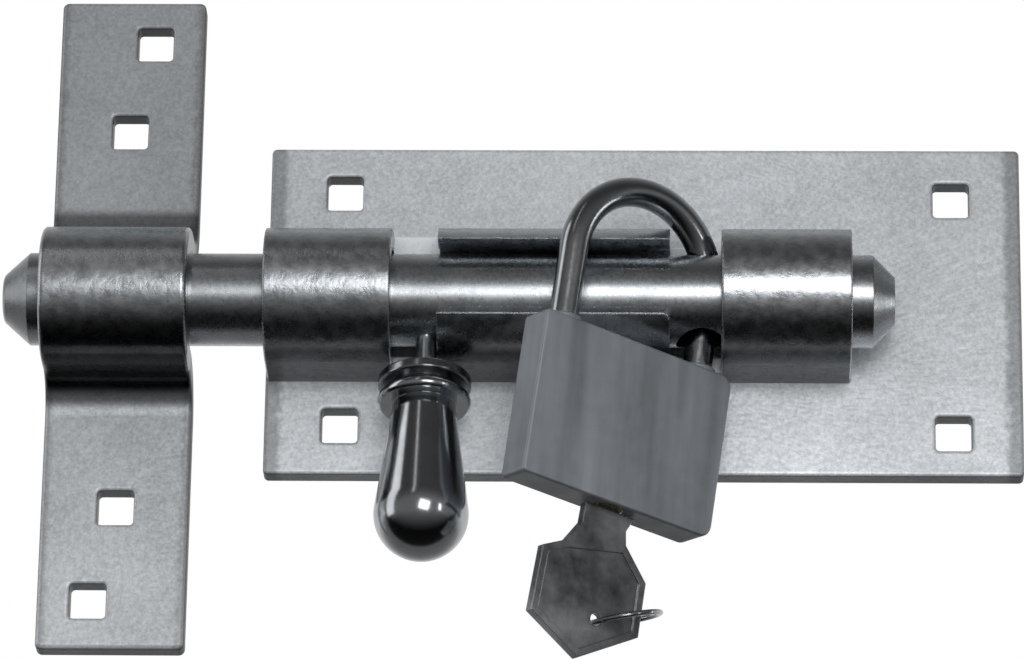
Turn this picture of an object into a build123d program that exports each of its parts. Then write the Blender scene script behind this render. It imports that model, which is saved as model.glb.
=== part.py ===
from build123d import *
import os
from math import asin, atan2, cos, hypot, radians, sin, sqrt

# Round door bolt on a mounting plate, with its strike strap and the padlock that locks it.
# Millimetres. X runs along the bolt to its tail, -Y faces the user, +Z is up.
# The origin is the centre of the mounting plate's back face. The bolt is shown shot and locked.

# Mounting plate
plate_length = 180.0
plate_height = 84.0
plate_thick = 5.0
plate_corner = 1.2
plate_edge_round = 0.8
square_hole = 8.6
hole_corner = 1.0
hole_rim_round = 0.8
plate_hole_left = 17.9
plate_hole_right = 16.5
plate_hole_edge = 12.0
left_holes_up = 0.3
right_holes_down = 1.2

# Round bolt
rod_dia = 22.0
rod_length = 211.0
rod_throw = 61.7
tip_chamfer = 6.3
tip_chamfer_in = 5.6
tip_round = 2.0
tail_chamfer = 5.2
lock_hole_dia = 12.0
rest_gap = 0.3

# Guide channel, bent from flat bar
guide_bore = 24.0
guide_wall = 4.5
guide_drop = 2.1
guide_reach = 12.5
guide_inset = 0.5
left_guide_length = 30.0
rail_length = 54.7
right_guide_length = 30.7
latch_slot_width = 11.0
latch_slot_depth = 2.0
latch_slot_under = 8.0
park_slot_width = 12.2
park_slot_depth = 8.0
front_slot_up = 9.7
front_slot_down = 9.2
rail_corner = 1.6
rim_round = 0.5

# Strike strap, bent from flat bar
strap_width = 35.0
strap_thick = 5.0
strap_height = 167.0
strap_bore = 24.0
strap_gap_to_plate = 17.3
strap_bend = 8.0
strap_corner = 1.5
strap_edge_round = 1.2
strap_outer_inset = 11.6
strap_inner_inset = 35.0
strap_holes_up = 0.3
strap_stagger = 5.5
strap_inner_shift = 0.2

# Handle
stem_dia = 5.0
stem_side_gap = 0.3
stem_seat = 8.0
handle_lean = 8.0
knob_start = 24.2
washer_thick = 2.6
collar_dia = 22.0
collar_thick = 2.6
collar_gap = 2.1
waist_dia = 15.0
waist_length = 1.1
ball_dia = 22.2
knob_length = 44.5
knob_bore_depth = 16.0
slip = 0.05

# Padlock
body_width = 53.8
body_height = 40.5
body_thick = 9.5
body_heel_corner = 1.2
body_toe_corner = 3.2
body_edge = 0.7
shackle_dia = 7.0
leg_inset = 7.5
shackle_spring_line = 1.0
body_drop = 17.9
boss_height = 1.0
toe_depth = 13.0
heel_depth = 29.0
lock_x_in_slot = 8.6
lock_forward = -0.4
lock_hole_left = 1.0
lock_yaw = 36.6
lock_roll = 5.2
lock_pitch = 5.6
leg_clear = 0.1

# Padlock mechanism
latch_level = 7.0
latch_dia = 5.0
latch_bite = 1.4
latch_play = 0.25
lock_play = 0.5
driver_dia = 7.4
driver_flat = 5.2
plug_dia = 8.0
plug_length = 20.0
plug_clear = 0.05
tongue_thick = 1.8
tongue_width = 6.0
tongue_height = 2.0
pin_count = 4
pin_dia = 2.4
pin_pitch = 3.4
first_pin = 3.6
driver_pin_length = 5.0
pin_spring_length = 9.0
pin_spring_wire = 0.35
spring_turns = 5
heel_spring_length = 6.5
heel_spring_wire = 0.8
heel_spring_turns = 4
retainer_dia = 1.0
retainer_bite = 0.4
retainer_drop = 1.6
hole_clear = 0.05

# Key and ring
blade_thick = 1.8
blade_width = 6.4
blade_length = 17.2
blade_nib = 1.2
cut_depths = (1.6, 0.8, 2.0, 1.2)
key_neck_left = ((-6.3, 0), (-6.5, -4.9))
key_shoulder_left = (-10.1, -10.5)
key_bow_left = ((-16.2, -13.6), (-16.9, -29.6))
key_bow_foot = (-2.4, -37.0)
key_bow_right = ((13.2, -27.5), (13.2, -14.2))
key_shoulder_right = (6.3, -7.0)
key_neck_right = ((5.7, -3.7), (7.5, 0))
bow_rim = 1.8
bow_thick = 2.2
bow_recess = 0.35
key_face_gap = 0.4
ring_hole_dia = 3.0
ring_hole_x = 1.2
ring_hole_down = 26.6
ring_dia = 17.3
ring_wire = 1.3
ring_rise = 22.0

# Sizes worked out from those above
rod_r = rod_dia / 2
guide_inner = guide_bore / 2
guide_outer = guide_inner + guide_wall
guide_y = -plate_thick - guide_reach
guide_z = -guide_drop
rod_y = guide_y
rod_z = guide_z - (guide_inner - rod_r - rest_gap)
channel_start = -plate_length / 2 + guide_inset
latch_slot_x = channel_start + left_guide_length
rail_start = latch_slot_x + latch_slot_width
park_slot_x = rail_start + rail_length
right_guide_x = park_slot_x + park_slot_width
channel_end = right_guide_x + right_guide_length
rod_tip = -plate_length / 2 - rod_throw
strap_x = -plate_length / 2 - strap_gap_to_plate - strap_width / 2
strap_z = rod_z + rest_gap
stem_x = rail_start - stem_side_gap - stem_dia / 2
lock_x = park_slot_x + lock_x_in_slot
hole_x = lock_x - lock_hole_left
body_top = -body_drop
body_bottom = body_top - body_height
shackle_span = body_width - 2 * leg_inset
heel_x = -shackle_span
plug_x = -shackle_span / 2
latch_z = body_top - latch_level
toe_end = body_top - toe_depth
heel_end = body_top - heel_depth
plug_top = body_bottom + plug_length
driver_top = latch_z + latch_dia / 2 + 0.8
heel_hole_end = heel_end - heel_spring_length
bow_bottom = body_bottom - key_face_gap
ring_seat = ring_hole_dia / 2 - ring_wire / 2 - rest_gap
groove_z = plug_top - retainer_drop


def bar(x0, x1, y0, y1, z0, z1):
    """A plain block between two opposite corners."""
    centre = ((x0 + x1) / 2, (y0 + y1) / 2, (z0 + z1) / 2)
    return Pos(*centre) * Box(x1 - x0, y1 - y0, z1 - z0)


def rod_between(start, end, radius):
    """A round bar from one point to another."""
    axis = Vector(*end) - Vector(*start)
    base = Plane(origin=start, z_dir=axis)
    return extrude(base * Circle(radius), axis.length)


def with_square_holes(bar_stock, places, depth):
    """Square coach-bolt holes with rounded front rims, through metal from y = -depth to 0."""
    for x, z in places:
        mouth = Plane(origin=(x, 1, z), x_dir=(1, 0, 0), z_dir=(0, -1, 0))
        bar_stock = bar_stock - extrude(mouth * RectangleRounded(square_hole, square_hole, hole_corner), depth + 2)

    def on_rim(edge):
        at = edge.center()
        return abs(at.Y + depth) < 0.01 and any(
            max(abs(at.X - x), abs(at.Z - z)) < square_hole / 2 + 0.1 for x, z in places
        )

    return fillet(bar_stock.edges().filter_by(on_rim), hole_rim_round)


def back_plate():
    plate = bar(-plate_length / 2, plate_length / 2, -plate_thick, 0, -plate_height / 2, plate_height / 2)
    plate = fillet(plate.edges().filter_by(Axis.Y), plate_corner)
    plate = fillet(plate.faces().sort_by(Axis.Y)[0].edges(), plate_edge_round)
    hole_z = plate_height / 2 - plate_hole_edge
    left_x = -plate_length / 2 + plate_hole_left
    right_x = plate_length / 2 - plate_hole_right
    places = [
        (left_x, left_holes_up + hole_z),
        (left_x, left_holes_up - hole_z),
        (right_x, hole_z - right_holes_down),
        (right_x, -hole_z - right_holes_down),
    ]
    return with_square_holes(plate, places, plate_thick)


def guide_channel():
    """A U bent round the bolt, sawn open at the front and across at the two handle slots."""
    reach = guide_reach

    def u_section(radius):
        nose = ThreePointArc((0, radius), (-radius, 0), (0, -radius))
        sides = Polyline((0, -radius), (reach, -radius), (reach, radius), (0, radius))
        return make_face([nose.edge(), *sides.edges()])

    base = Plane(origin=(channel_start, guide_y, guide_z), x_dir=(0, 1, 0), z_dir=(1, 0, 0))
    length = channel_end - channel_start
    channel = extrude(base * (u_section(guide_outer) - u_section(guide_inner)), length)
    tall = guide_outer + 5
    front = guide_y - guide_outer - 5
    low = guide_z - tall
    high = guide_z + tall
    latch_slot = bar(latch_slot_x, rail_start, front, guide_y + latch_slot_depth, low, high)
    latch_under = bar(latch_slot_x, rail_start, front, guide_y + latch_slot_under, low, guide_z)
    park_slot = bar(park_slot_x, right_guide_x, front, guide_y + park_slot_depth, low, high)
    long_slot = bar(
        rail_start - 1, park_slot_x + 1, front, guide_y, guide_z - front_slot_down, guide_z + front_slot_up
    )
    channel = channel - [latch_slot, latch_under, park_slot, long_slot]
    arris_y = guide_y - sqrt(guide_outer**2 - front_slot_down**2)
    corner = channel.edges().filter_by(Axis.Y).filter_by(
        lambda e: abs(e.center().X - park_slot_x) < 0.01
        and abs(e.center().Z - guide_z + front_slot_down) < 0.01
        and e.center().Y < arris_y + guide_wall
    )
    channel = fillet(corner, rail_corner)
    rims = channel.edges().filter_by(GeomType.CIRCLE).filter_by(
        lambda e: abs(e.radius - guide_outer) < 0.01 and e.length > guide_outer * 2
    )
    return fillet(rims, rim_round)


def strike_strap():
    """An omega bent from flat bar: two flanges, two bends and a round loop over the bolt."""
    inner = strap_bore / 2
    outer = inner + strap_thick
    bend_y = -strap_thick - strap_bend
    bend_z = outer + strap_bend
    end_z = strap_height / 2
    rise = 45.0
    near = strap_bend
    far = strap_bend + strap_thick

    def bend_mid(radius, side):
        y = bend_y + radius * sin(radians(rise))
        z = side * (bend_z - radius * cos(radians(rise)))
        return y, z

    outside = [
        Line((0, end_z), (-strap_thick, end_z)),
        Line((-strap_thick, end_z), (-strap_thick, bend_z)),
        ThreePointArc((-strap_thick, bend_z), bend_mid(near, 1), (bend_y, outer)),
        Line((bend_y, outer), (rod_y, outer)),
        ThreePointArc((rod_y, outer), (rod_y - outer, 0), (rod_y, -outer)),
        Line((rod_y, -outer), (bend_y, -outer)),
        ThreePointArc((bend_y, -outer), bend_mid(near, -1), (-strap_thick, -bend_z)),
        Line((-strap_thick, -bend_z), (-strap_thick, -end_z)),
        Line((-strap_thick, -end_z), (0, -end_z)),
    ]
    inside = [
        Line((0, -end_z), (0, -bend_z)),
        ThreePointArc((0, -bend_z), bend_mid(far, -1), (bend_y, -inner)),
        Line((bend_y, -inner), (rod_y, -inner)),
        ThreePointArc((rod_y, -inner), (rod_y - inner, 0), (rod_y, inner)),
        Line((rod_y, inner), (bend_y, inner)),
        ThreePointArc((bend_y, inner), bend_mid(far, 1), (0, bend_z)),
        Line((0, bend_z), (0, end_z)),
    ]
    base = Plane(origin=(strap_x - strap_width / 2, 0, strap_z), x_dir=(0, 1, 0), z_dir=(1, 0, 0))
    strap = extrude(base * make_face([piece.edge() for piece in outside + inside]), strap_width)
    corners = strap.edges().filter_by(Axis.Y).filter_by(
        lambda e: abs(abs(e.center().Z - strap_z) - end_z) < 0.01
    )
    strap = fillet(corners, strap_corner)
    rounded = strap.edges().filter_by(GeomType.CIRCLE).filter_by(lambda e: abs(e.radius - outer) < 0.01)
    strap = fillet(rounded, strap_edge_round)
    outer_z = end_z - strap_outer_inset
    inner_z = end_z - strap_inner_inset
    middle = strap_z + strap_holes_up
    places = [
        (strap_x + strap_stagger, middle + outer_z),
        (strap_x + strap_inner_shift, middle + inner_z),
        (strap_x + strap_inner_shift, middle - inner_z),
        (strap_x - strap_stagger, middle - outer_z),
    ]
    return with_square_holes(strap, places, strap_thick)


def handle_axis():
    """The handle hangs from the bolt's axis, leaning a little away from the plate."""
    direction = Vector(0, -sin(radians(handle_lean)), -cos(radians(handle_lean)))
    return Plane(origin=(stem_x, rod_y, rod_z), x_dir=(1, 0, 0), z_dir=direction)


def bolt_rod():
    tip = rod_r - tip_chamfer_in
    tail = rod_r - tail_chamfer
    outline = Polyline(
        (0, 0), (0, tip), (tip_chamfer, rod_r),
        (rod_length - tail_chamfer, rod_r), (rod_length, tail), (rod_length, 0),
        close=True,
    )
    rod = revolve(make_face(outline.edges()), Axis.X)
    nose = rod.edges().filter_by(GeomType.CIRCLE).sort_by(Axis.X)[0]
    rod = fillet(nose, tip_round)
    rod = Pos(rod_tip, rod_y, rod_z) * rod
    stem_hole = handle_axis() * Pos(0, 0, rod_r - stem_seat) * extrude(Circle(stem_dia / 2 + slip), rod_r)
    lock_hole = Pos(hole_x, rod_y, rod_z) * Cylinder(lock_hole_dia / 2, rod_dia + 4)
    return rod - stem_hole - lock_hole


def handle_stem():
    start = rod_r - stem_seat
    end = knob_start + knob_bore_depth
    stem = extrude(Circle(stem_dia / 2), end - start)
    stem = chamfer(stem.edges(), 0.4)
    return handle_axis() * Pos(0, 0, start) * stem


def knob_washer():
    washer = extrude(Circle(collar_dia / 2) - Circle(stem_dia / 2 + slip), washer_thick)
    rims = washer.edges().filter_by(GeomType.CIRCLE).filter_by(lambda e: e.radius > stem_dia)
    washer = fillet(rims, 0.6)
    return handle_axis() * Pos(0, 0, knob_start - washer_thick) * washer


def handle_knob():
    """Turned in one: neck, collar, waist and a cone that runs out tangent to the ball."""
    ball_r = ball_dia / 2
    waist_r = waist_dia / 2
    collar_r = collar_dia / 2
    collar_z = collar_gap
    waist_z = collar_z + collar_thick + waist_length
    ball_z = knob_length - ball_r
    apart = hypot(ball_z - waist_z, waist_r)
    climb = asin(ball_r / apart) - atan2(waist_r, ball_z - waist_z)
    touch = (ball_r * cos(climb), ball_z - ball_r * sin(climb))
    belly = (ball_r * cos(radians(-35)), ball_z - ball_r * sin(radians(-35)))
    edge = 0.7
    lines = [
        Line((0, 0), (waist_r, 0)),
        Line((waist_r, 0), (waist_r, collar_z)),
        Line((waist_r, collar_z), (collar_r - edge, collar_z)),
        ThreePointArc(
            (collar_r - edge, collar_z),
            (collar_r, collar_z + collar_thick / 2),
            (collar_r - edge, collar_z + collar_thick),
        ),
        Line((collar_r - edge, collar_z + collar_thick), (waist_r, collar_z + collar_thick)),
        Line((waist_r, collar_z + collar_thick), (waist_r, waist_z)),
        Line((waist_r, waist_z), touch),
        ThreePointArc(touch, belly, (0, knob_length)),
        Line((0, knob_length), (0, 0)),
    ]
    base = Plane(origin=(0, 0, 0), x_dir=(1, 0, 0), z_dir=(0, -1, 0))
    knob = revolve(base * make_face([piece.edge() for piece in lines]), Axis.Z)
    bore = extrude(Circle(stem_dia / 2 + slip), knob_bore_depth + rest_gap)
    return handle_axis() * Pos(0, 0, knob_start) * (knob - bore)


def lock_place():
    """From the padlock's upright frame (its toe leg on the bolt's axis) to where it hangs."""
    hang = Pos(lock_x, rod_y - lock_forward, rod_z)
    return hang * Rot(0, 0, lock_yaw) * Rot(0, lock_roll, 0) * Rot(lock_pitch, 0, 0)


def pin_heights():
    return [body_bottom + first_pin + number * pin_pitch for number in range(pin_count)]


def lock_body():
    centre = (plug_x, 0, body_top - body_height / 2)
    body = Pos(*centre) * Box(body_width, body_thick, body_height)
    corners = body.edges().filter_by(Axis.Y)
    body = fillet(corners.group_by(Axis.X)[0], body_heel_corner)
    body = fillet(body.edges().filter_by(Axis.Y).group_by(Axis.X)[-1], body_toe_corner)
    body = fillet(body.faces().filter_by(Axis.Y).edges(), body_edge)
    for x in (0, heel_x):
        boss = Pos(x, 0, body_top) * Cylinder(body_thick / 2 - 0.2, 2 * boss_height)
        body = body + fillet(boss.edges().group_by(Axis.Z)[-1], 0.5)
    leg_r = shackle_dia / 2 + leg_clear
    body = body - rod_between((0, 0, toe_end - lock_play - rest_gap), (0, 0, body_top + 5), leg_r)
    body = body - rod_between((heel_x, 0, heel_hole_end), (heel_x, 0, body_top + 5), leg_r)
    side = body_width / 2 + plug_x
    body = body - rod_between((heel_x, 0, latch_z), (side + 1, 0, latch_z), latch_dia / 2 + hole_clear)
    bore_top = driver_top + rest_gap
    body = body - rod_between((plug_x, 0, body_bottom - 1), (plug_x, 0, bore_top), plug_dia / 2 + plug_clear)
    for z in pin_heights():
        body = body - rod_between((plug_x, 0, z), (side + 1, 0, z), pin_dia / 2 + hole_clear)
    return body - retainer(side + 1, hole_clear)


def retainer(end_x, extra):
    """The pin that lies across the plug's groove and keeps the plug from pulling out."""
    y = plug_dia / 2 - retainer_bite
    return rod_between((plug_x - 3, y, groove_z), (end_x, y, groove_z), retainer_dia / 2 + extra)


def shackle():
    leg_r = shackle_dia / 2
    bend_r = shackle_span / 2
    top = (heel_x / 2, 0, shackle_spring_line + bend_r)
    path = Wire([
        Line((0, 0, toe_end), (0, 0, shackle_spring_line)).edge(),
        ThreePointArc((0, 0, shackle_spring_line), top, (heel_x, 0, shackle_spring_line)).edge(),
        Line((heel_x, 0, shackle_spring_line), (heel_x, 0, heel_end)).edge(),
    ])
    bow = sweep(Plane(origin=(0, 0, toe_end), z_dir=(0, 0, 1)) * Circle(leg_r), path)
    bow = chamfer(bow.edges().filter_by(GeomType.CIRCLE).group_by(Axis.Z)[0], 0.8)
    notch_low = latch_z - latch_dia / 2 - leg_clear
    notch_high = latch_z + latch_dia / 2 + lock_play + leg_clear
    toe_floor = latch_bite - leg_r
    heel_floor = heel_x - toe_floor
    bow = bow - bar(-leg_r - 1, toe_floor, -leg_r - 1, leg_r + 1, notch_low, notch_high)
    bow = bow - bar(heel_floor, heel_x + leg_r + 1, -leg_r - 1, leg_r + 1, notch_low, notch_high)
    neck_top = latch_z - latch_dia / 2 - 2.0
    neck_end = heel_end + 3.0
    neck = extrude(Circle(leg_r + 1) - Circle(leg_r - latch_bite), neck_top - neck_end)
    return bow - Pos(heel_x, 0, neck_end) * neck


def latch_bolts():
    """Two round pins that the driver holds out into the notches of the shackle's legs."""
    nose_x = -shackle_dia / 2 + latch_bite - latch_play
    heel_nose = heel_x - nose_x
    tail = driver_dia / 2 + hole_clear
    toe_pin = rod_between((plug_x + tail, 0, latch_z), (nose_x, 0, latch_z), latch_dia / 2)
    heel_pin = rod_between((plug_x - tail, 0, latch_z), (heel_nose, 0, latch_z), latch_dia / 2)
    toe_pin = chamfer(toe_pin.edges().group_by(Axis.X)[-1], 1.2)
    heel_pin = chamfer(heel_pin.edges().group_by(Axis.X)[0], 1.2)
    return Compound(children=[toe_pin, heel_pin])


def coil(radius, wire, length, turns):
    """A spring with square-cut ends, standing on z = 0."""
    pitch = (length - wire) / turns
    path = Helix(pitch=pitch, height=length - wire, radius=radius - wire / 2)
    start = Plane(origin=path @ 0, z_dir=path % 0)
    wire_face = start * RegularPolygon(wire / 2, 6)
    return Pos(0, 0, wire / 2) * sweep(wire_face, path, is_frenet=True)


def shackle_spring():
    spring = coil(shackle_dia / 2 - 0.3, heel_spring_wire, heel_spring_length - 0.2, heel_spring_turns)
    return Pos(heel_x, 0, heel_hole_end + 0.1) * spring


def lock_driver():
    """Turned by the plug's tongue; its flats let the latch bolts in when the key is turned."""
    low = plug_top + 0.2
    driver = rod_between((plug_x, 0, low), (plug_x, 0, driver_top), driver_dia / 2)
    keep = driver_flat / 2
    low_cut = latch_z - latch_dia / 2 - 0.5
    for side in (-1, 1):
        inner = side * keep
        outer = side * (driver_dia / 2 + 1)
        flat = bar(plug_x - 5, plug_x + 5, min(inner, outer), max(inner, outer), low_cut, driver_top + 1)
        driver = driver - flat
    slot = Pos(plug_x, 0, low) * Box(plug_dia + 2, tongue_thick + 0.2, 2 * tongue_height + 0.4)
    return driver - slot


def lock_plug():
    plug = rod_between((plug_x, 0, body_bottom), (plug_x, 0, plug_top), plug_dia / 2)
    tongue = Pos(plug_x, 0, plug_top + tongue_height / 2) * Box(tongue_width, tongue_thick, tongue_height)
    plug = plug + tongue
    keyway_top = body_bottom + blade_length - key_face_gap + 0.5
    half_wide = blade_width / 2 + 0.2
    half_thick = blade_thick / 2 + 0.1
    keyway = bar(
        plug_x - half_wide, plug_x + half_wide, -half_thick, half_thick, body_bottom - 1, keyway_top
    )
    plug = plug - keyway
    for z in pin_heights():
        plug = plug - rod_between((plug_x, 0, z), (plug_x + plug_dia, 0, z), pin_dia / 2 + hole_clear)
    groove_width = retainer_dia + 4 * hole_clear
    groove_depth = retainer_bite + retainer_dia / 2 + 2 * hole_clear
    ring = extrude(Circle(plug_dia) - Circle(plug_dia / 2 - groove_depth), groove_width)
    return plug - Pos(plug_x, 0, groove_z - groove_width / 2) * ring


def key_pins():
    """Each rests in its cut of the key and ends just under the plug's surface."""
    top = sqrt((plug_dia / 2) ** 2 - (pin_dia / 2) ** 2) - 0.05
    pins = []
    for z, cut in zip(pin_heights(), cut_depths):
        foot = blade_width / 2 - cut + hole_clear
        pin = rod_between((plug_x + foot, 0, z), (plug_x + top, 0, z), pin_dia / 2)
        pins.append(chamfer(pin.edges().group_by(Axis.X)[0], 0.5))
    return Compound(children=pins)


def driver_pins():
    pins = []
    start = plug_x + plug_dia / 2 + plug_clear + hole_clear
    for z in pin_heights():
        pins.append(rod_between((start, 0, z), (start + driver_pin_length, 0, z), pin_dia / 2))
    return Compound(children=pins)


def pin_springs():
    springs = []
    start = plug_x + plug_dia / 2 + plug_clear + hole_clear + driver_pin_length + 0.1
    for z in pin_heights():
        spring = coil(pin_dia / 2 - 0.1, pin_spring_wire, pin_spring_length - 0.2, spring_turns)
        springs.append(Pos(start, 0, z) * Rot(0, 90, 0) * spring)
    return Compound(children=springs)


def side_plugs():
    """Fillers pressed into the drilled side: one behind each pin spring, one for the latch bore."""
    side = body_width / 2 + plug_x
    start = plug_x + plug_dia / 2 + plug_clear + hole_clear + driver_pin_length + pin_spring_length + 0.1
    plugs = []
    for z in pin_heights():
        plugs.append(rod_between((start, 0, z), (side, 0, z), pin_dia / 2))
    wall_start = shackle_dia / 2 + leg_clear + 0.3
    plugs.append(rod_between((wall_start, 0, latch_z), (side, 0, latch_z), latch_dia / 2))
    return Compound(children=plugs)


def plug_retainer():
    return retainer(body_width / 2 + plug_x, 0)


def key_outline():
    """The neck and bow, drawn with x across the key and y down from the neck's top."""
    return Polyline(
        *key_neck_left, key_shoulder_left, *key_bow_left, key_bow_foot,
        *key_bow_right, key_shoulder_right, *key_neck_right, close=True,
    )


def padlock_key():
    def upright(y):
        return Plane(origin=(plug_x, y, bow_bottom), x_dir=(1, 0, 0), z_dir=(0, -1, 0))

    bow = extrude(upright(bow_thick / 2) * make_face(key_outline().edges()), bow_thick)
    panel = Polyline(
        key_shoulder_left, *key_bow_left, key_bow_foot, *key_bow_right, key_shoulder_right, close=True
    )
    panel_face = offset(make_face(panel.edges()), -bow_rim, kind=Kind.INTERSECTION)
    for back_y in (bow_thick / 2, -bow_thick / 2 + bow_recess):
        bow = bow - extrude(upright(back_y) * panel_face, bow_recess)
    hole_z = bow_bottom - ring_hole_down
    hole = (plug_x + ring_hole_x, 0, hole_z)
    bow = bow - Pos(*hole) * Rot(90, 0, 0) * Cylinder(ring_hole_dia / 2, bow_thick * 3)
    blade_end = bow_bottom + blade_length
    half = blade_width / 2
    crest = half - 0.1
    points = [(-half, bow_bottom - 0.5), (half, bow_bottom - 0.5)]
    for z, cut in zip(pin_heights(), cut_depths):
        floor = half - cut
        run = pin_dia / 2 - 0.4
        ramp = min(cut, (pin_pitch - 2 * run) / 2 - 0.05)
        points += [(half - cut + ramp, z - run - ramp), (floor, z - run), (floor, z + run)]
        points += [(half - cut + ramp, z + run + ramp)]
    points += [(crest, blade_end - blade_nib), (0, blade_end), (-half, blade_end - blade_nib)]
    front = Plane(origin=(plug_x, blade_thick / 2, 0), x_dir=(1, 0, 0), z_dir=(0, -1, 0))
    blade = extrude(front * make_face(Polyline(*points, close=True).edges()), blade_thick)
    return bow + blade


def key_ring():
    """A split ring through the key's hole, standing out to the side as it was left."""
    way = Vector(cos(radians(ring_rise)), 0, sin(radians(ring_rise)))
    seat = Vector(plug_x + ring_hole_x, 0, bow_bottom - ring_hole_down - ring_seat)
    centre = seat + way * (ring_dia / 2)
    across = Plane(origin=centre, x_dir=way, z_dir=way.cross(Vector(0, 1, 0)))
    return across * Torus(ring_dia / 2, ring_wire / 2)


def write(name, shape):
    export_step(shape, f"parts/{name}.step")


def main():
    os.makedirs("parts", exist_ok=True)
    write("back_plate", back_plate())
    write("guide_channel", guide_channel())
    write("strike_strap", strike_strap())
    write("bolt_rod", bolt_rod())
    write("handle_stem", handle_stem())
    write("knob_washer", knob_washer())
    write("handle_knob", handle_knob())
    place = lock_place()
    padlock = {
        "lock_body": lock_body(),
        "shackle": shackle(),
        "latch_bolts": latch_bolts(),
        "shackle_spring": shackle_spring(),
        "lock_driver": lock_driver(),
        "lock_plug": lock_plug(),
        "key_pins": key_pins(),
        "driver_pins": driver_pins(),
        "pin_springs": pin_springs(),
        "side_plugs": side_plugs(),
        "plug_retainer": plug_retainer(),
        "padlock_key": padlock_key(),
        "key_ring": key_ring(),
    }
    for name, shape in padlock.items():
        write(name, place * shape)


main()
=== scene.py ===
import math

import bpy
from mathutils import Matrix, Quaternion, Vector

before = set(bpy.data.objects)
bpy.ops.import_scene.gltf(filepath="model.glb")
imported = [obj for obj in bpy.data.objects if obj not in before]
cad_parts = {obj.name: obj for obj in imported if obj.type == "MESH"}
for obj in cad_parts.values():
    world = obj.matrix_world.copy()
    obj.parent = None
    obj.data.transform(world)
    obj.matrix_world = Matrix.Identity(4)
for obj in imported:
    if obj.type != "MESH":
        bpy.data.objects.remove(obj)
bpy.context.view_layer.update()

# The camera: fitted to the photograph's edges, below the plate and looking up at it.
VIEW_RISE = math.radians(22.2)
VIEW_TURN = math.radians(-1.78)
VIEW_ROLL = math.radians(-0.86)
VIEW_DISTANCE = 1.4821
VIEW_AIM = Vector((-0.0316, 0.0, -0.0030))
LENS = 217.56
SENSOR_WIDTH = 36.0
CLIP_NEAR, CLIP_FAR = 0.01, 50.0

# The studio, in metres. FILL is the strength of the world's even light.
FLOOR_LEVEL = -1.5
FLOOR_HALF = 6.0
FLOOR_TONE, FLOOR_ROUGH = 0.82, 0.8
TENT_RADIUS = 1.35
TENT_SEGMENTS, TENT_RINGS = 48, 24
LAMP_DISTANCE = 1.2
FILL = 0.92

# Openness of the tent round the X axis: (angle from straight in front, up positive, degrees;
# share of white that comes through). The round bars mirror it as their light and dark bands.
TENT = [
    (-180, 0.75), (-172, 0.6), (-140, 0.26), (-120, 0.2), (-106, 0.18), (-101, 0.02), (-97, 0.01),
    (-60, 0.004), (-46, 0.05), (-33, 0.12), (-18, 0.2), (18, 0.2), (31, 0.12), (46, 0.07),
    (62, 0.05), (80, 0.09), (103, 0.22), (125, 0.42), (148, 0.7), (180, 0.75),
]

# The lamps: name, azimuth and elevation in degrees, width and height in metres, radiance, and
# roll in degrees.
LAMPS = [
    ("front_softbox", 7, 1, 0.48, 0.46, 3.6, -15),
    ("knob_strip", -22, 46, 0.07, 0.6, 0.9, 0),
    ("left_window", -76, 18, 0.45, 1.2, 1.15, 0),
    ("right_strip", 45, 0, 0.10, 0.3, 4.0, 0),
    ("right_rim", 93, 0, 0.12, 0.4, 3.0, 0),
]

# Shares of red, green and blue in a grey tone.
STEEL_TINT = (0.96, 1.0, 1.04)
CASE_TINT = (0.94, 1.0, 1.08)
BRASS_TINT = (1.0, 0.82, 0.45)

# Noise lies between these values nearly everywhere.
NOISE_LOW, NOISE_HIGH = 0.3, 0.7
BEVEL_SAMPLES = 4


def place_camera():
    forward = Vector((
        math.sin(VIEW_TURN) * math.cos(VIEW_RISE),
        math.cos(VIEW_TURN) * math.cos(VIEW_RISE),
        math.sin(VIEW_RISE),
    ))
    right = Vector((math.cos(VIEW_TURN), -math.sin(VIEW_TURN), 0))
    up = right.cross(forward)
    across = math.cos(VIEW_ROLL) * right - math.sin(VIEW_ROLL) * up
    upward = math.sin(VIEW_ROLL) * right + math.cos(VIEW_ROLL) * up
    data = bpy.data.cameras.new("camera")
    data.lens = LENS
    data.sensor_width = SENSOR_WIDTH
    data.clip_start = CLIP_NEAR
    data.clip_end = CLIP_FAR
    camera = bpy.data.objects.new("camera", data)
    turn = Matrix((across, upward, -forward)).transposed().to_4x4()
    camera.matrix_world = Matrix.Translation(VIEW_AIM - forward * VIEW_DISTANCE) @ turn
    bpy.context.scene.collection.objects.link(camera)
    bpy.context.scene.camera = camera


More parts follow.
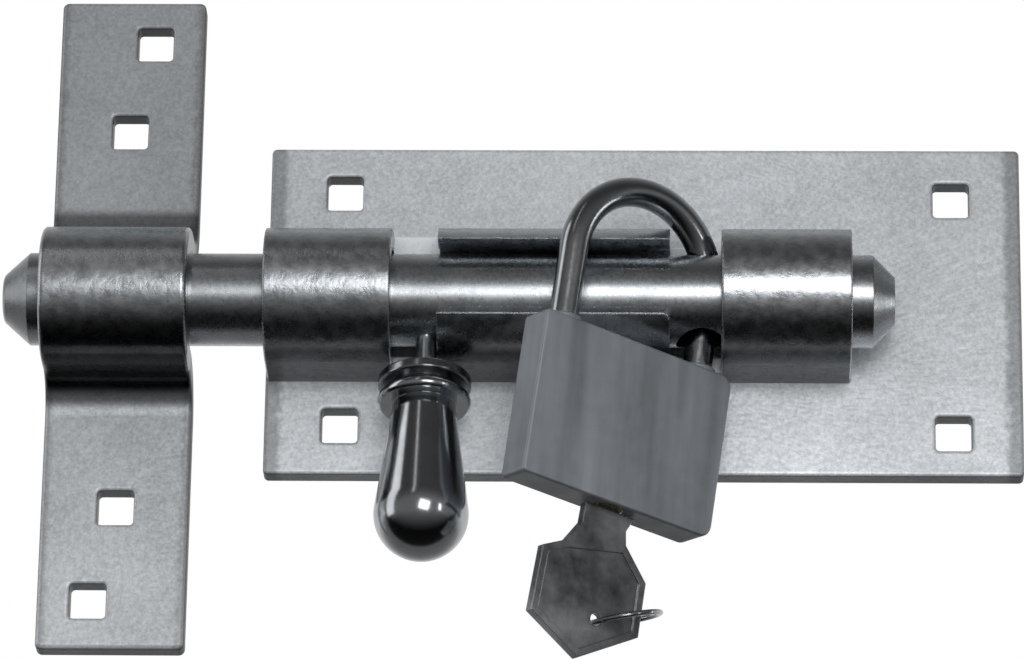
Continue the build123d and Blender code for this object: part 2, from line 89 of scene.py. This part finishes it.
class Nodes:
    """A short way to write a node tree. Inputs go by name, or by number as i0, i1 and so on."""

    def __init__(self, tree):
        self.tree = tree
        self.tree.nodes.clear()

    def add(self, kind, props=None, **inputs):
        node = self.tree.nodes.new(kind)
        for name, value in (props or {}).items():
            setattr(node, name, value)
        for name, value in inputs.items():
            self.set(node, name.replace("_", " "), value)
        return node

    def set(self, node, name, value):
        numbered = name[0] == "i" and name[1:].isdigit()
        socket = node.inputs[int(name[1:])] if numbered else node.inputs[name]
        if isinstance(value, bpy.types.NodeSocket):
            self.tree.links.new(value, socket)
        elif isinstance(value, bpy.types.Node):
            self.tree.links.new(value.outputs[0], socket)
        else:
            socket.default_value = value

    def math(self, operation, a, b=0.0, c=0.0):
        return self.add("ShaderNodeMath", {"operation": operation}, i0=a, i1=b, i2=c)

    def size(self, value):
        return self.math("ABSOLUTE", value)

    def total(self, first, *others):
        for other in others:
            first = self.math("ADD", first, other)
        return first

    def product(self, first, *others):
        for other in others:
            first = self.math("MULTIPLY", first, other)
        return first

    def noise(self, at, kind):
        """A noise texture's value, for a kind of (scale, detail, roughness)."""
        scale, detail, roughness = kind
        node = self.add(
            "ShaderNodeTexNoise", Vector=at, Scale=scale, Detail=detail, Roughness=roughness)
        return node.outputs["Fac"]

    def spread(self, noise, low, high):
        """Noise spread from low to high."""
        return self.add(
            "ShaderNodeMapRange", Value=noise,
            From_Min=NOISE_LOW, From_Max=NOISE_HIGH, To_Min=low, To_Max=high)

    def step(self, value, change):
        """A soft change of (input at its start, input at its end, result before, result after)."""
        start, end, before, after = change
        return self.add(
            "ShaderNodeMapRange", {"interpolation_type": "SMOOTHSTEP"}, Value=value,
            From_Min=start, From_Max=end, To_Min=before, To_Max=after)

    def mix(self, share, a, b):
        """Value a where the share is 0 and value b where it is 1."""
        return self.add("ShaderNodeMapRange", Value=share, To_Min=a, To_Max=b)

    def tinted(self, tone, tint):
        red, green, blue = (self.product(tone, share) for share in tint)
        return self.add("ShaderNodeCombineColor", Red=red, Green=green, Blue=blue)

    def ramp(self, value, stops):
        node = self.add("ShaderNodeValToRGB", Fac=value)
        elements = node.color_ramp.elements
        while len(elements) < len(stops):
            elements.new(0.5)
        for element, (position, tone) in zip(elements, sorted(stops)):
            element.position = position
            element.color = (tone, tone, tone, 1)
        return node

    def object_place(self):
        """The point in metres on the part at rest."""
        return self.add("ShaderNodeTexCoord").outputs["Object"]

    def facing(self):
        """The surface's own direction, without bump or rounding."""
        return self.add("ShaderNodeNewGeometry").outputs["Normal"]

    def axes(self, vector):
        return self.add("ShaderNodeSeparateXYZ", Vector=vector).outputs

    def rounded(self, radius):
        """The direction with its edges rounded off, so that their rims catch the light."""
        return self.add("ShaderNodeBevel", {"samples": BEVEL_SAMPLES}, Radius=radius)

    def finish(self, tone, tint, metallic, rough, bump):
        shader = self.add(
            "ShaderNodeBsdfPrincipled", Base_Color=self.tinted(tone, tint), Metallic=metallic,
            Roughness=rough, Normal=bump)
        self.add("ShaderNodeOutputMaterial", Surface=shader)


def new_material(name):
    material = bpy.data.materials.new(name)
    material.use_nodes = True
    return material, Nodes(material.node_tree)


def set_world():
    """White to the camera and to what metal reflects, and a plain grey fill for the rest."""
    world = bpy.data.worlds.new("studio")
    world.use_nodes = True
    bpy.context.scene.world = world
    n = Nodes(world.node_tree)
    path = n.add("ShaderNodeLightPath").outputs
    seen = n.math("MAXIMUM", path["Is Camera Ray"], path["Is Glossy Ray"])
    seen = n.math("MAXIMUM", seen, path["Is Transmission Ray"])
    white = n.add("ShaderNodeBackground", Color=(1, 1, 1, 1), Strength=1.0)
    fill = n.add("ShaderNodeBackground", Color=(1, 1, 1, 1), Strength=FILL)
    mix = n.add("ShaderNodeMixShader", i0=seen, i1=fill, i2=white)
    n.add("ShaderNodeOutputWorld", Surface=mix)


def add_floor():
    mesh = bpy.data.meshes.new("floor")
    corners = [(-1, -1), (1, -1), (1, 1), (-1, 1)]
    mesh.from_pydata(
        [(x * FLOOR_HALF, y * FLOOR_HALF, FLOOR_LEVEL) for x, y in corners], [], [(0, 1, 2, 3)])
    floor = bpy.data.objects.new("floor", mesh)
    bpy.context.scene.collection.objects.link(floor)
    material, n = new_material("pale_floor")
    colour = (FLOOR_TONE, FLOOR_TONE, FLOOR_TONE, 1)
    shader = n.add("ShaderNodeBsdfPrincipled", Base_Color=colour, Roughness=FLOOR_ROUGH)
    n.add("ShaderNodeOutputMaterial", Surface=shader)
    mesh.materials.append(material)


def add_tent():
    """A net tent in the way of reflected rays alone: a photographer's dark cards."""
    bpy.ops.mesh.primitive_uv_sphere_add(
        segments=TENT_SEGMENTS, ring_count=TENT_RINGS, radius=TENT_RADIUS)
    tent = bpy.context.object
    tent.name = "tent"
    material, n = new_material("tent_net")
    place = n.axes(n.add("ShaderNodeNewGeometry").outputs["Position"])
    angle = n.math("ARCTAN2", place["Z"], n.product(place["Y"], -1.0))
    turn = n.total(n.math("DIVIDE", angle, 2 * math.pi), 0.5)
    net = n.ramp(turn, [(0.5 + degrees / 360, tone) for degrees, tone in TENT])
    n.add("ShaderNodeOutputMaterial", Surface=n.add("ShaderNodeBsdfTransparent", Color=net))
    tent.data.materials.append(material)
    tent.visible_camera = False
    tent.visible_diffuse = False
    tent.visible_shadow = False


def add_lamp(name, azimuth, elevation, width, height, radiance, roll):
    """A softbox that faces the object from that direction, and shines with that radiance."""
    a, e = math.radians(azimuth), math.radians(elevation)
    outward = Vector((math.sin(a) * math.cos(e), -math.cos(a) * math.cos(e), math.sin(e)))
    data = bpy.data.lights.new(name, "AREA")
    data.shape = "RECTANGLE"
    data.size = width
    data.size_y = height
    data.energy = radiance * math.pi * width * height
    lamp = bpy.data.objects.new(name, data)
    lamp.location = outward * LAMP_DISTANCE
    lamp.rotation_mode = "QUATERNION"
    turn = Quaternion((0, 0, 1), math.radians(roll))
    lamp.rotation_quaternion = outward.to_track_quat("Z", "Y") @ turn
    lamp.visible_camera = False
    bpy.context.scene.collection.objects.link(lamp)


# Finish of the zinc: tone, roughness and metal share, on the flats and where the bar is bent.
FLAT_TONE, FLAT_ROUGH, FLAT_METAL = (0.69, 0.87), (0.45, 0.35), 0.60
BENT_TONE, BENT_ROUGH, BENT_METAL = (0.55, 0.80), (0.23, 0.33), 1.0
# Sawn faces: bare steel, with a painted highlight where they face the front lamp.
SAWN_AND_LIT_TONE, SAWN_METAL = 0.9, 0.3
GRAIN_TONE = (-0.15, 0.15)
PATCH_TONE = (-0.07, 0.07)
ZINC_ROUND = 0.0006
ZINC_BUMP, ZINC_BUMP_DEPTH = 0.4, 0.00025

# Noise on the zinc: (scale per metre, detail, roughness).
ZINC_CLOUDS = (42.0, 6.0, 0.68)
ZINC_PATCHES = (14.0, 2.0, 0.5)
ZINC_GRAIN = (1300.0, 3.0, 0.65)
ZINC_LUMPS = (330.0, 4.0, 0.6)

# Where the zinc changes, as Nodes.step takes it. First the masks, from 0 to 1.
BENT = (-0.0055, -0.0085, 0.0, 1.0)  # by y: in front of the flat faces
STRAP = (-0.098, -0.102, 0.0, 1.0)  # by x: the strap, past the gap beside the plate
# Painted shade goes on the undersides below this height:
SHADE_BELOW_AXIS = (0.0, -0.006, 0.0, 1.0)  # by z: below the bolt's axis
# Where the painted highlight line under the strap's loop starts:
GLINT_LINE_STARTS = (-0.88, -0.91, 0.0, 1.0)  # by the normal's z
# Painted shade in the strap's bends beside the loop:
CROOK_SHADE_BACK = (-0.0140, -0.0125, 0.0, 1.0)  # by y: behind the strap's loop
CROOK_SHADE_NEAR = (0.0265, 0.0235, 0.0, 1.0)  # by the size of z: the bends beside the loop
SAWN_FRONT = (-0.96, -0.99, 0.0, 1.0)  # by the normal's y
SAWN_BACK = (-0.017, -0.016, 0.0, 1.0)  # by y: the floors of the slots

# Then the shares of tone: painted light and shade, lighter low on the plate and the strap and
# duller to the plate's right;
# dark at the ends and on the cut edges; painted shade underneath and in the strap's bends, with a
# painted highlight line under the loop.
PLATE_SHADE_BY_HEIGHT = (-0.030, 0.010, 1.10, 0.93)
PLATE_SHADE_BY_LENGTH = (0.040, 0.075, 1.0, 0.86)
STRAP_SHADE_BY_HEIGHT = (-0.060, 0.060, 0.84, 0.54)
PLATE_RIM = (0.0852, 0.0875, 1.0, 0.56)
STRAP_RIM = (0.0148, 0.0165, 1.0, 0.72)
CUT_EDGE = (0.8, 0.3, 1.0, 0.2)
# Painted shade on the undersides of the guides and the strap.
GUIDE_UNDER_SHADE = (-0.87, -0.97, 1.0, 0.19)
STRAP_UNDER_SHADE = (-0.5, -0.88, 1.0, 0.08)
# Where the painted highlight line under the loop fades out.
GLINT_LINE_ENDS = (-0.94, -0.965, 0.16, 0.0)
BENT_END = (0.7, 0.95, 1.0, 0.45)
# Share of tone left by the painted shade in the strap's bends.
STRAP_CROOK_SHADE = 0.3
STRAP_MIDDLE = -0.1248
RIM_RAGGED = 0.0035


def flat_zinc(n, place, facing, strap, clouds, lumps, at):
    """Tone of the flats: clouded and grained, with painted light and shade over the plate and the
    strap, ragged darker ends and dark cut edges.
    """
    tone = n.total(
        n.spread(clouds, *FLAT_TONE),
        n.spread(n.noise(at, ZINC_GRAIN), *GRAIN_TONE),
        n.spread(n.noise(at, ZINC_PATCHES), *PATCH_TONE))
    # Painted light and shade: the plate lighter low down and duller towards its right.
    plate = n.product(
        n.step(place["Z"], PLATE_SHADE_BY_HEIGHT), n.step(place["X"], PLATE_SHADE_BY_LENGTH))
    ragged = n.math("MULTIPLY_ADD", lumps, RIM_RAGGED, -RIM_RAGGED / 2)
    along = n.total(place["X"], ragged)
    plate_rim = n.step(n.size(along), PLATE_RIM)
    strap_rim = n.step(n.size(n.total(along, -STRAP_MIDDLE)), STRAP_RIM)
    return n.product(
        tone,
        # Painted shade: the strap darker towards its top.
        n.mix(strap, plate, n.step(place["Z"], STRAP_SHADE_BY_HEIGHT)),
        n.mix(strap, plate_rim, strap_rim),
        n.step(n.size(facing["Y"]), CUT_EDGE))


def bent_zinc(n, place, facing, strap, lumps):
    """Tone of the bent bars: uneven wear, dark ends, painted shade on the undersides, and a
    painted highlight band under the loop.
    """
    # A painted highlight: a lighter line within the painted shade under the strap's loop.
    glint_line = n.product(n.step(facing["Z"], GLINT_LINE_STARTS), n.step(facing["Z"], GLINT_LINE_ENDS))
    strap_under_shade = n.total(n.step(facing["Z"], STRAP_UNDER_SHADE), glint_line)
    low = n.mix(strap, n.step(facing["Z"], GUIDE_UNDER_SHADE), strap_under_shade)
    return n.product(
        n.spread(lumps, *BENT_TONE),
        # Painted shade on the undersides, below the bolt's axis.
        n.mix(n.step(place["Z"], SHADE_BELOW_AXIS), 1.0, low),
        n.step(n.size(facing["X"]), BENT_END))


def galvanised_steel():
    """Zinc over steel: dull on the flats, smoother where it is bent, bright on the sawn faces
    turned to the front, as bare steel and a painted highlight.
    """
    material, n = new_material("galvanised_steel")
    at = n.object_place()
    place, facing = n.axes(at), n.axes(n.facing())
    clouds, lumps = n.noise(at, ZINC_CLOUDS), n.noise(at, ZINC_LUMPS)
    bent, strap = n.step(place["Y"], BENT), n.step(place["X"], STRAP)
    flat = flat_zinc(n, place, facing, strap, clouds, lumps, at)
    worn_and_shaded = bent_zinc(n, place, facing, strap, lumps)
    # Painted shade in the concave bends beside the strap's loop.
    crook_shade = n.product(
        n.step(place["Y"], CROOK_SHADE_BACK), n.step(n.size(place["Z"]), CROOK_SHADE_NEAR), strap)
    tone = n.product(n.mix(bent, flat, worn_and_shaded), n.mix(crook_shade, 1.0, STRAP_CROOK_SHADE))
    # The sawn faces turned to the front: bare steel and a painted highlight.
    sawn = n.product(n.step(facing["Y"], SAWN_FRONT), n.step(place["Y"], SAWN_BACK), bent)
    tone = n.mix(sawn, tone, SAWN_AND_LIT_TONE)
    rough = n.mix(bent, n.spread(clouds, *FLAT_ROUGH), n.spread(lumps, *BENT_ROUGH))
    metal = n.mix(sawn, n.mix(bent, FLAT_METAL, BENT_METAL), SAWN_METAL)
    bump = n.add(
        "ShaderNodeBump", Strength=ZINC_BUMP, Distance=ZINC_BUMP_DEPTH, Height=lumps,
        Normal=n.rounded(ZINC_ROUND))
    n.finish(tone, STEEL_TINT, metal, rough, bump)
    return material


# The drawn and polished metals.
BAR_CLOUDS = (120.0, 4.0, 0.6)
KEY_CLOUDS = (75.0, 4.0, 0.6)
BAR_GRAIN = (1100.0, 2.0, 0.5)
BAR_ROUND = 0.0004
BAR_BUMP_DEPTH = 0.0002
EDGE_WEAR_AND_GLINT = (0.99, 0.90, 0.0, 1.0)  # by the cosine between the surface's own and rounded direction
END = (0.2, 0.5, 0.0, 1.0)  # by the size of the normal's x


def bar_metal(
        name, tone, rough, bump=0.15, tint=STEEL_TINT, clouds=BAR_CLOUDS, edge=None, end=1.0):
    """Metal with clouds, fine grain and a soft unevenness.

    Tone and roughness each run from low to high. The edges can be lightened to the tone "edge",
    partly as wear and partly as a painted highlight on the rims, and what faces along X has the
    share "end" of its tone.
    """
    material, n = new_material(name)
    at = n.object_place()
    cloud = n.noise(at, clouds)
    rounded = n.rounded(BAR_ROUND)
    shade = n.spread(cloud, *tone)
    if edge is not None:
        # Lighter rims: wear, and a painted highlight.
        bend = n.add(
            "ShaderNodeVectorMath", {"operation": "DOT_PRODUCT"}, i0=rounded, i1=n.facing())
        shade = n.mix(n.step(bend.outputs["Value"], EDGE_WEAR_AND_GLINT), shade, edge)
    if end != 1.0:
        end_share = n.step(n.size(n.axes(n.facing())["X"]), END)
        shade = n.product(shade, n.mix(end_share, 1.0, end))
    uneven = n.add(
        "ShaderNodeBump", Strength=bump, Distance=BAR_BUMP_DEPTH, Height=cloud, Normal=rounded)
    n.finish(shade, tint, 1.0, n.spread(n.noise(at, BAR_GRAIN), *rough), uneven)
    return material


# The padlock's case.
CASE_TONE, CASE_ROUGH, CASE_METAL = (0.20, 0.34), (0.4, 0.5), 0.6
CASE_STRETCH = (1.0, 1.0, 0.09)
CASE_STROKES, STROKE_TONE = (420.0, 3.0, 0.55), (-0.018, 0.018)
CASE_BANDS = (95.0, 2.0, 0.5)
CASE_SCUFFS, SCUFF_TONE = (240.0, 4.0, 0.6), (-0.012, 0.012)
CASE_UNDER_SHADE = (-0.3, -0.85, 1.0, 0.5)
CASE_BUMP, CASE_BUMP_DEPTH = 0.1, 0.0001


def brushed_case():
    """Satin grey: broad soft bands up and down the case's faces, with painted shade underneath."""
    material, n = new_material("satin_grey")
    at = n.object_place()
    upright = n.add("ShaderNodeMapping", Vector=at, Scale=CASE_STRETCH)
    strokes, bands = n.noise(upright, CASE_STROKES), n.noise(upright, CASE_BANDS)
    scuffs = n.noise(at, CASE_SCUFFS)
    tone = n.total(
        n.spread(bands, *CASE_TONE),
        n.spread(strokes, *STROKE_TONE),
        n.spread(scuffs, *SCUFF_TONE))
    # Painted shade: the case darker where it faces down.
    tone = n.product(tone, n.step(n.axes(n.facing())["Z"], CASE_UNDER_SHADE))
    bump = n.add(
        "ShaderNodeBump", Strength=CASE_BUMP, Distance=CASE_BUMP_DEPTH, Height=strokes)
    n.finish(tone, CASE_TINT, CASE_METAL, n.spread(scuffs, *CASE_ROUGH), bump)
    return material


def dress(material, *nodes):
    for name in nodes:
        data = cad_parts[name].data
        data.materials.clear()
        data.materials.append(material)


place_camera()
set_world()
add_floor()
add_tent()
for lamp in LAMPS:
    add_lamp(*lamp)

dress(galvanised_steel(), "back_plate", "guide_channel", "strike_strap")
dress(bar_metal("zinc_bar", (0.52, 0.70), (0.24, 0.34), end=0.7), "bolt_rod")
dress(bar_metal("polished_steel", (0.46, 0.56), (0.13, 0.19), bump=0.05), "handle_knob")
# The washer's rims lighter: wear, and a painted highlight.
dress(bar_metal("washer_steel", (0.26, 0.36), (0.15, 0.22), bump=0.05, edge=0.9), "knob_washer")
dress(bar_metal("stem_steel", (0.75, 0.85), (0.2, 0.26), bump=0.05), "handle_stem")
dress(bar_metal("shackle_steel", (0.40, 0.50), (0.14, 0.22), bump=0.06), "shackle")
dress(brushed_case(), "lock_body", "side_plugs")
dress(
    # The key's rims lighter: wear, and a painted highlight.
    bar_metal("nickel_key", (0.12, 0.62), (0.30, 0.42), bump=0.4, clouds=KEY_CLOUDS, edge=0.6),
    "padlock_key")
dress(bar_metal("bright_wire", (0.45, 0.55), (0.12, 0.2), bump=0.03), "key_ring")
dress(
    bar_metal("spring_steel", (0.4, 0.5), (0.2, 0.3)),
    "shackle_spring", "pin_springs", "plug_retainer", "latch_bolts")
dress(
    bar_metal("lock_brass", (0.6, 0.72), (0.2, 0.3), tint=BRASS_TINT),
    "lock_plug", "lock_driver", "key_pins", "driver_pins")

bpy.context.scene.view_settings.view_transform = "Standard"
